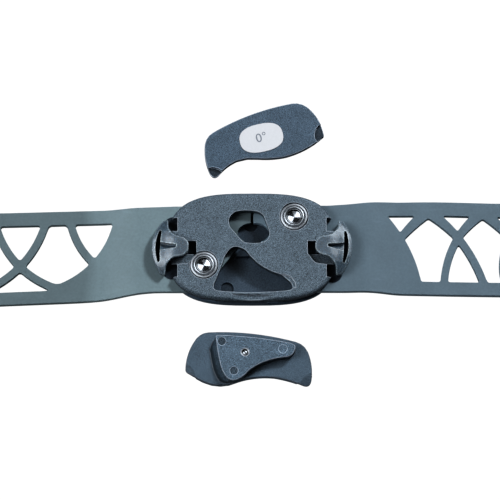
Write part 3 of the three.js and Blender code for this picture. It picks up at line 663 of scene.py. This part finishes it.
def latch_drop(out, north, height):
    """How far each place of the latch sinks, in millimetres."""
    across = np.abs(north)
    reach = (across - LATCH_FALL["from"]) / (LATCH_FALL["to"] - LATCH_FALL["from"])
    fall = LATCH_FALL["depth"] * np.clip(reach, 0, LATCH_FALL["most"]) ** LATCH_FALL["power"]
    dish = LATCH_DISH["depth"] * np.exp(-(((out - LATCH_DISH["at"]) / LATCH_DISH["width"]) ** 2))
    dish *= np.clip(1 - (across / LATCH_DISH["half"]) ** LATCH_DISH["power"], 0, 1)
    edge = LATCH_RIM["chord"] + LATCH_RIM["bow"] * (1 - (across / LATCH_RIM["half"]) ** 2) - out
    rim = LATCH_RIM["slope"] * np.clip(LATCH_RIM["width"] - edge, 0, LATCH_RIM["most"])
    lean = LATCH_LEAN["slope"] * LATCH_LEAN["ease"]
    lean *= np.log1p(np.exp((out - LATCH_LEAN["from"]) / LATCH_LEAN["ease"]))
    run = (out - LATCH_GROOVE["tip"]) / (LATCH_GROOVE["end"] - LATCH_GROOVE["tip"])
    half = LATCH_GROOVE["tip_half"] + (LATCH_GROOVE["end_half"] - LATCH_GROOVE["tip_half"]) * run
    inside = (run > GROOVE_ROOM["tip"]) & (run < GROOVE_ROOM["end"]) & (across < half + GROOVE_ROOM["side"])
    inside &= height > LATCH_GROOVE["above"]
    groove = LATCH_GROOVE["depth"] * inside * np.clip((north + half) / (2 * half), 0, 1)
    share = np.clip((height - LATCH_SHARE["from"]) / LATCH_SHARE["over"], 0, 1)
    return (fall + dish + rim + lean) * share + groove


def in_slot(out, north, height):
    """Whether each place lies on the floor or low on the walls of the nail slot."""
    across = np.abs(north)
    beyond = LATCH_SLOT["outer"] + LATCH_SLOT["bow"] * (1 - (across / LATCH_SLOT["half"]) ** 2)
    deep = (out > LATCH_SLOT["inner"]) & (out < beyond) & (across < LATCH_SLOT["half"])
    return deep & (height > LATCH_SLOT["low"]) & (height < LATCH_SLOT["high"])


def add_latches():
    for side, sign in (("left", -1), ("right", 1)):
        latch = copied(f"{side}_latch", f"{side}_thumb_latch", LATCH_NYLON)
        skin = latch.modifiers.new("skin", "REMESH")
        skin.mode = "VOXEL"
        skin.voxel_size = LATCH_VOXEL * MM
        baked(latch)
        mesh = latch.data
        spots = places(mesh)
        out, north, height = latch_places(spots, sign)
        deep = in_slot(out, north, height)
        spots[:, 2] -= latch_drop(out, north, height) * MM
        mesh.vertices.foreach_set("co", spots.ravel())
        mesh.update()
        smoothed(latch, LATCH_SOFT)
        # Painted shade low on the latch's walls, and painted highlights on its proud edges
        level = LATCH_WALL_SHADE["level"]
        lit = (height - LATCH_WALL_SHADE["low"]) / (LATCH_WALL_SHADE["high"] - LATCH_WALL_SHADE["low"])
        tones = level + (1 - level) * np.clip(lit, 0, 1)
        tones *= 1 + LATCH_EDGE_HIGHLIGHT["gain"] * proud_share(latch, LATCH_EDGE_HIGHLIGHT["rounds"], LATCH_EDGE_HIGHLIGHT["full"])
        tone = latch.data.attributes.new(TONE, "FLOAT", "POINT")
        tone.data.foreach_set("value", tones.astype(np.float32))
        # The nail slot's floor and low walls take the near-black nylon as painted shade
        latch.data.materials.append(SLOT_SHADE_NYLON)
        for face in latch.data.polygons:
            face.material_index = int(deep[face.vertices[0]])
        latch.data.shade_smooth()
        dress(latch, f"{side}_slider", f"{side}_latch")


# Tips of the lower stop that slope away: a point on the fold, the way down and the slope in degrees
STOP_FOLDS = table("x y top way slope", (-19.8, -42.4, 2.4, 206, 11), (17.8, -44.0, 2.4, 312, 11))
FOLD_BLOCK = 12 * MM


def slope_blocks():
    """Blocks that cut the sloped tips."""
    blocks = []
    for i, fold in enumerate(STOP_FOLDS):
        mesh = bpy.data.meshes.new(f"fold_{i}")
        work = bmesh.new()
        bmesh.ops.create_cube(work, size=FOLD_BLOCK)
        bmesh.ops.translate(work, verts=work.verts, vec=(FOLD_BLOCK / 2, 0, FOLD_BLOCK / 2))
        turn = Matrix.Rotation(math.radians(fold["way"]), 4, "Z")
        tilt = Matrix.Rotation(math.radians(fold["slope"]), 4, "Y")
        place = Matrix.Translation(Vector((fold["x"], fold["y"], fold["top"])) * MM)
        bmesh.ops.transform(work, matrix=place @ turn @ tilt, verts=work.verts)
        work.to_mesh(mesh)
        work.free()
        blocks.append(link(f"fold_{i}", mesh, STOP_NYLON))
    return blocks


# Drums that cut the marks stand above them and have slightly rounded edges, in millimetres
SUNK = {"above": 1, "round": 0.05, "steps": 40}


def sunk(marks):
    """Drums that cut the round marks."""
    drums = []
    for i, mark in enumerate(marks):
        r, soft = mark["r"], SUNK["round"]
        floor, above = mark["top"] - mark["depth"], mark["top"] + SUNK["above"]
        rows = [(0, floor, 0), (r, floor, soft), (r, above, soft), (0, above, 0)]
        drums.append(turned(f"mark_{i}", rows, (mark["x"] * MM, mark["y"] * MM), STOP_NYLON, SUNK["steps"]))
    return drums


# Long wall of the wedge on the lower stop, in millimetres: its foot spreads over the plate
WEDGE_WALL = {"from": (-12.35, -30.05), "to": (-7.72, -50.1), "foot": 2.4, "spread": 2.5, "near": 1.6}
WEDGE_FOOT_ROOM = 0.05
WEDGE_TAPER = {"start": 6, "stop": 4}


def spread_wedge(piece):
    start, stop = Vector(WEDGE_WALL["from"]), Vector(WEDGE_WALL["to"])
    along = (stop - start).normalized()
    outward = Vector((along.y, -along.x))
    for vertex in piece.data.vertices:
        spot = vertex.co / MM
        step = spot.xy - start
        share = step.dot(along) / (stop - start).length
        at_foot = abs(spot.z - WEDGE_WALL["foot"]) < WEDGE_FOOT_ROOM
        if at_foot and abs(step.dot(outward)) < WEDGE_WALL["near"] and 0 < share < 1:
            taper = min(1, WEDGE_TAPER["start"] * share, WEDGE_TAPER["stop"] * (1 - share))
            reach = WEDGE_WALL["spread"] * taper
            vertex.co += outward.to_3d() * reach * MM


# Width of the eased edges in millimetres
BACK_EASE = 0.15
STOP_EASE = 0.16


def add_marked():
    back = copied("back_plate", "marked_back_plate", BACK_NYLON)
    carved(back, sunk(BACK_MARKS))
    eased(back, BACK_EASE, BACK_NYLON)
    dress(back, "hinge", "back_plate")
    stop = copied("lower_stop", "marked_lower_stop", MARKED_NYLON)
    spread_wedge(stop)
    carved(stop, sunk(STOP_MARKS) + slope_blocks())
    eased(stop, STOP_EASE, MARKED_EDGE_HIGHLIGHT)
    dress(stop, "hinge", "lower_stop")


# Insert: a small turned pin with a dimple, as rows of radius, height and rounding
INSERT_PROFILE = [
    (0, 3.05, 0), (1.38, 3.05, 0.1), (1.38, 5.72, 0.1), (1.15, 5.75, 0.1), (0.6, 5.3, 0.1),
    (0.35, 5.42, 0.15), (0, 5.45, 0),
]
INSERT_BANDS = table("r look", (1.2, POLISHED))
INSERT_HEAD = 5.0
INSERT_STEPS = 48


def add_insert():
    low, high = (Vector(corner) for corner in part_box("stop_insert"))
    middle = (low + high) / 2
    pin = turned("turned_insert", INSERT_PROFILE, middle, SATIN, INSERT_STEPS, INSERT_BANDS, INSERT_HEAD)
    dress(pin, "hinge", "stop_insert")


# Print on the label: the angle that the stop sets
PRINT = {"text": "0°", "size": 4.4, "turn": 13.2, "thick": 0.01, "lift": 0.02}


def add_print():
    low, high = (Vector(corner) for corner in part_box("stop_label"))
    text = bpy.data.curves.new("angle_print", "FONT")
    text.body = PRINT["text"]
    text.size = PRINT["size"] * MM
    text.align_x = "CENTER"
    text.align_y = "CENTER"
    text.extrude = PRINT["thick"] * MM
    piece = bpy.data.objects.new("angle_print", text)
    piece.location = ((low.x + high.x) / 2, (low.y + high.y) / 2, high.z + PRINT["lift"] * MM)
    piece.rotation_euler = (0, 0, math.radians(PRINT["turn"]))
    bpy.context.collection.objects.link(piece)
    text.materials.append(PRINT_GREY)
    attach(piece, "hinge")


# Solids that keep their shape, with the width of their eased edges in millimetres
# and the least angle of an edge that is eased; the lighter edge looks of the plate and stops paint
# highlights on their edges
KEPT = table(
    "node look edge ease angle flatten",
    ("front_plate", HOUSING_NYLON, HOUSING_EDGE_HIGHLIGHT, 0.2, 55, True),
    ("left_bar", LEFT_COAT, LEFT_COAT, 0.15, 38, True),
    ("right_bar", RIGHT_COAT, RIGHT_COAT, 0.15, 38, True),
    ("upper_stop", STOP_NYLON, STOP_EDGE_HIGHLIGHT, 0.15, 38, False),
    ("stop_label", LABEL_WHITE, LABEL_WHITE, 0.06, 38, True),
)


def dress_kept():
    for row in KEPT:
        piece = NODES[row["node"]]
        piece.data.materials.clear()
        piece.data.materials.append(row["look"])
        eased(piece, row["ease"], row["edge"], row["angle"], row["flatten"])


# Floor that glows evenly white: half its width in metres and its grain in millimetres
FLOOR = {"half": 3.0, "size": 40, "low": (0.02,) * 3, "high": (0.025,) * 3, "rough": 0.9, "glow": 0.71}


def add_floor():
    half = FLOOR["half"]
    mesh = bpy.data.meshes.new("floor")
    corners = [(-half, -half, 0), (half, -half, 0), (half, half, 0), (-half, half, 0)]
    mesh.from_pydata(corners, [], [(0, 1, 2, 3)])
    paint = Paint("floor_white")
    paint.set(Base_Color=paint.grains(paint.noise(FLOOR["size"]), FLOOR["low"], FLOOR["high"]))
    paint.set(Roughness=FLOOR["rough"], Specular_IOR_Level=0.0)
    paint.set(Emission_Color=(1, 1, 1, 1), Emission_Strength=FLOOR["glow"])
    floor = link("floor", mesh, paint.material)
    floor.visible_glossy = False


add_camera()
add_lights()
add_rivets()
add_shade_pads()
add_latches()
add_marked()
add_insert()
add_print()
dress_kept()
add_floor()
